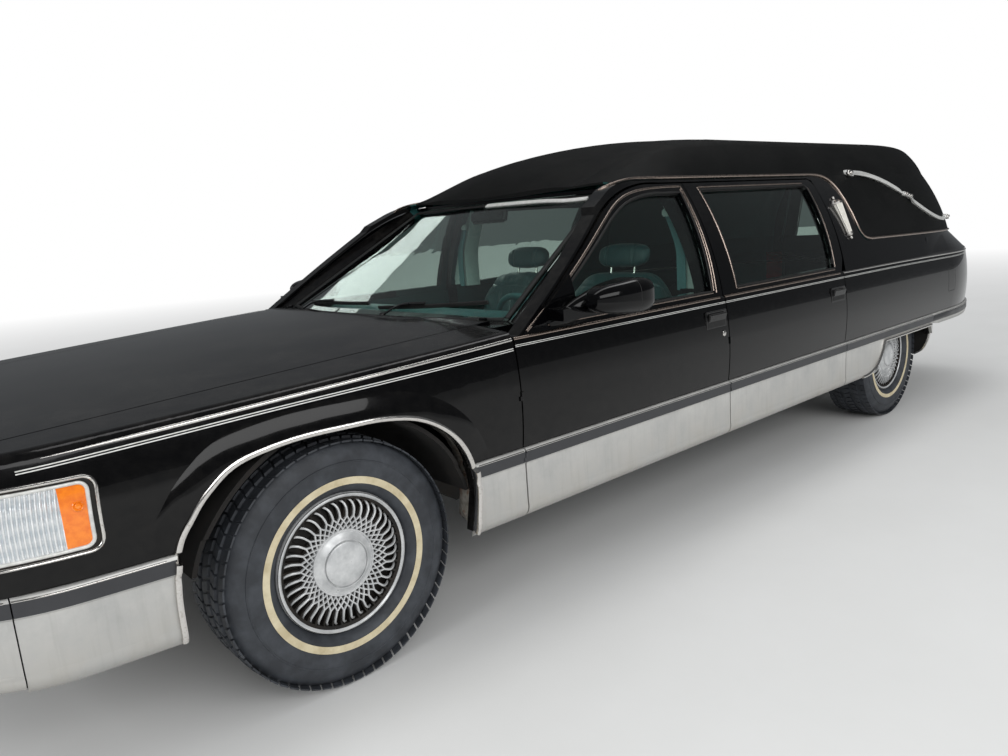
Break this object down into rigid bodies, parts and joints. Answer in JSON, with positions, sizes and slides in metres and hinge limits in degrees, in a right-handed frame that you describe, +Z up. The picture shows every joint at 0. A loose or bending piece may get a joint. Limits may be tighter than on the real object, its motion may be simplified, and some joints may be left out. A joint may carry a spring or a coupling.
{
  "type": "hearse",
  "caption": "Long black hearse with a raised vinyl roof, side doors, a rear loading door and a casket deck.",
  "frame": {"origin": "on the ground under the middle of the car's bounding box", "axes": "+X forward, +Y to the driver's left, +Z up"},
  "size_m": [6.3366, 2.301, 1.6597],
  "materials": {
    "body_paint": "gloss black",
    "vinyl": "grained black vinyl roof cover",
    "cladding": "satin silver with a charcoal rub strip",
    "bumper": "satin silver bumper cover with a charcoal strip",
    "chrome_trim": "bright",
    "satin_metal": "satin",
    "glass": "clear, slightly green",
    "lamp_clear": "fluted clear lens",
    "lamp_amber": "amber lens",
    "lamp_red": "red lens",
    "lamp_white": "opal white lens",
    "black_plastic": "black",
    "frame_steel": "satin black underbody paint",
    "cast": "rough",
    "exhaust_steel": "dull",
    "wheel_metal": "satin silver",
    "tyre_rubber": "black with a cream whitewall",
    "green_leather": "dark teal leather",
    "green_plastic": "dark teal grained plastic",
    "liner": "black, dusty",
    "floor_carpet": "carpeted steel floor",
    "deck_board": "dark varnished board"
  },
  "bodies": {
    "root": {"body_frame": "body_paint", "casket_deck": "deck_board", "chassis_frame": "frame_steel", "coach_lamps": "lamp_white", "corner_lamps": "lamp_amber", "dashboard": "green_plastic", "drive_shaft": "frame_steel", "engine_block": "cast", "exhaust_system": "exhaust_steel", "floor_pan": "floor_carpet", "front_bench": "green_leather", "front_bumper": "bumper", "front_fenders": "body_paint", "front_suspension": "frame_steel", "fuel_tank": "frame_steel", "grille": "chrome_trim", "headlamps": "lamp_clear", "landau_irons": "satin_metal", "lower_cladding": "cladding", "quarter_panels": "body_paint", "rear_axle": "cast", "rear_bumper": "bumper", "tail_lamps": "lamp_red", "vinyl_roof": "vinyl", "wheelhouse_liners": "liner", "windshield": "glass"},
    "hood": {"hood": "body_paint"},
    "tailgate": {"tailgate": "body_paint", "tailgate_glass": "glass"},
    "steering_wheel": {"steering_wheel": "green_plastic"},
    "front_door_left": {"front_door_left": "body_paint", "front_door_glass_left": "glass", "front_door_cladding_left": "cladding", "mirror_left": "black_plastic"},
    "front_wheel_left": {"front_wheel_left": "wheel_metal", "front_tyre_left": "tyre_rubber"},
    "rear_door_left": {"rear_door_left": "body_paint", "rear_door_glass_left": "glass", "rear_door_cladding_left": "cladding"},
    "rear_wheel_left": {"rear_wheel_left": "wheel_metal", "rear_tyre_left": "tyre_rubber"},
    "knuckle_left": {"knuckle_left": "cast"},
    "front_door_right": {"front_door_right": "body_paint", "front_door_glass_right": "glass", "front_door_cladding_right": "cladding", "mirror_right": "black_plastic"},
    "front_wheel_right": {"front_wheel_right": "wheel_metal", "front_tyre_right": "tyre_rubber"},
    "rear_door_right": {"rear_door_right": "body_paint", "rear_door_glass_right": "glass", "rear_door_cladding_right": "cladding"},
    "rear_wheel_right": {"rear_wheel_right": "wheel_metal", "rear_tyre_right": "tyre_rubber"},
    "knuckle_right": {"knuckle_right": "cast"}
  },
  "joints": [
    {"name": "front_door_left_open", "type": "hinge", "parent": "root", "child": "front_door_left", "pos_m": [1.468, 0.991, 0.7], "axis": [0, 0, -1], "range_deg": [0, 65]},
    {"name": "rear_door_left_open", "type": "hinge", "parent": "root", "child": "rear_door_left", "pos_m": [0.268, 0.991, 0.7], "axis": [0, 0, -1], "range_deg": [0, 70]},
    {"name": "steer_left", "type": "hinge", "parent": "root", "child": "knuckle_left", "pos_m": [2.098, 0.705, 0.3665], "axis": [0, 0, 1], "range_deg": [-32, 32]},
    {"name": "front_wheel_left_spin", "type": "hinge", "parent": "knuckle_left", "child": "front_wheel_left", "pos_m": [2.098, 0.7835, 0.3665], "axis": [0, 1, 0], "continuous": true},
    {"name": "rear_wheel_left_spin", "type": "hinge", "parent": "root", "child": "rear_wheel_left", "pos_m": [-1.61, 0.771, 0.3665], "axis": [0, 1, 0], "continuous": true},
    {"name": "front_door_right_open", "type": "hinge", "parent": "root", "child": "front_door_right", "pos_m": [1.468, -0.991, 0.7], "axis": [0, 0, 1], "range_deg": [0, 65]},
    {"name": "rear_door_right_open", "type": "hinge", "parent": "root", "child": "rear_door_right", "pos_m": [0.268, -0.991, 0.7], "axis": [0, 0, 1], "range_deg": [0, 70]},
    {"name": "steer_right", "type": "hinge", "parent": "root", "child": "knuckle_right", "pos_m": [2.098, -0.705, 0.3665], "axis": [0, 0, 1], "range_deg": [-32, 32]},
    {"name": "front_wheel_right_spin", "type": "hinge", "parent": "knuckle_right", "child": "front_wheel_right", "pos_m": [2.098, -0.7835, 0.3665], "axis": [0, 1, 0], "continuous": true},
    {"name": "rear_wheel_right_spin", "type": "hinge", "parent": "root", "child": "rear_wheel_right", "pos_m": [-1.61, -0.771, 0.3665], "axis": [0, 1, 0], "continuous": true},
    {"name": "hood_open", "type": "hinge", "parent": "root", "child": "hood", "pos_m": [1.392, 0, 0.972], "axis": [0, -1, 0], "range_deg": [0, 50]},
    {"name": "tailgate_open", "type": "hinge", "parent": "root", "child": "tailgate", "pos_m": [-3.073, 0.563, 0.9], "axis": [0, 0, -1], "range_deg": [0, 100]},
    {"name": "steering_wheel_turn", "type": "hinge", "parent": "root", "child": "steering_wheel", "pos_m": [0.838, 0.38, 0.825], "axis": [-0.9063, 0, 0.4226], "range_deg": [-480, 480]}
  ],
  "couplings": [
    {"joint": "steer_right", "follows": "steer_left", "ratio": 1},
    {"joint": "steering_wheel_turn", "follows": "steer_left", "ratio": 15}
  ]
}
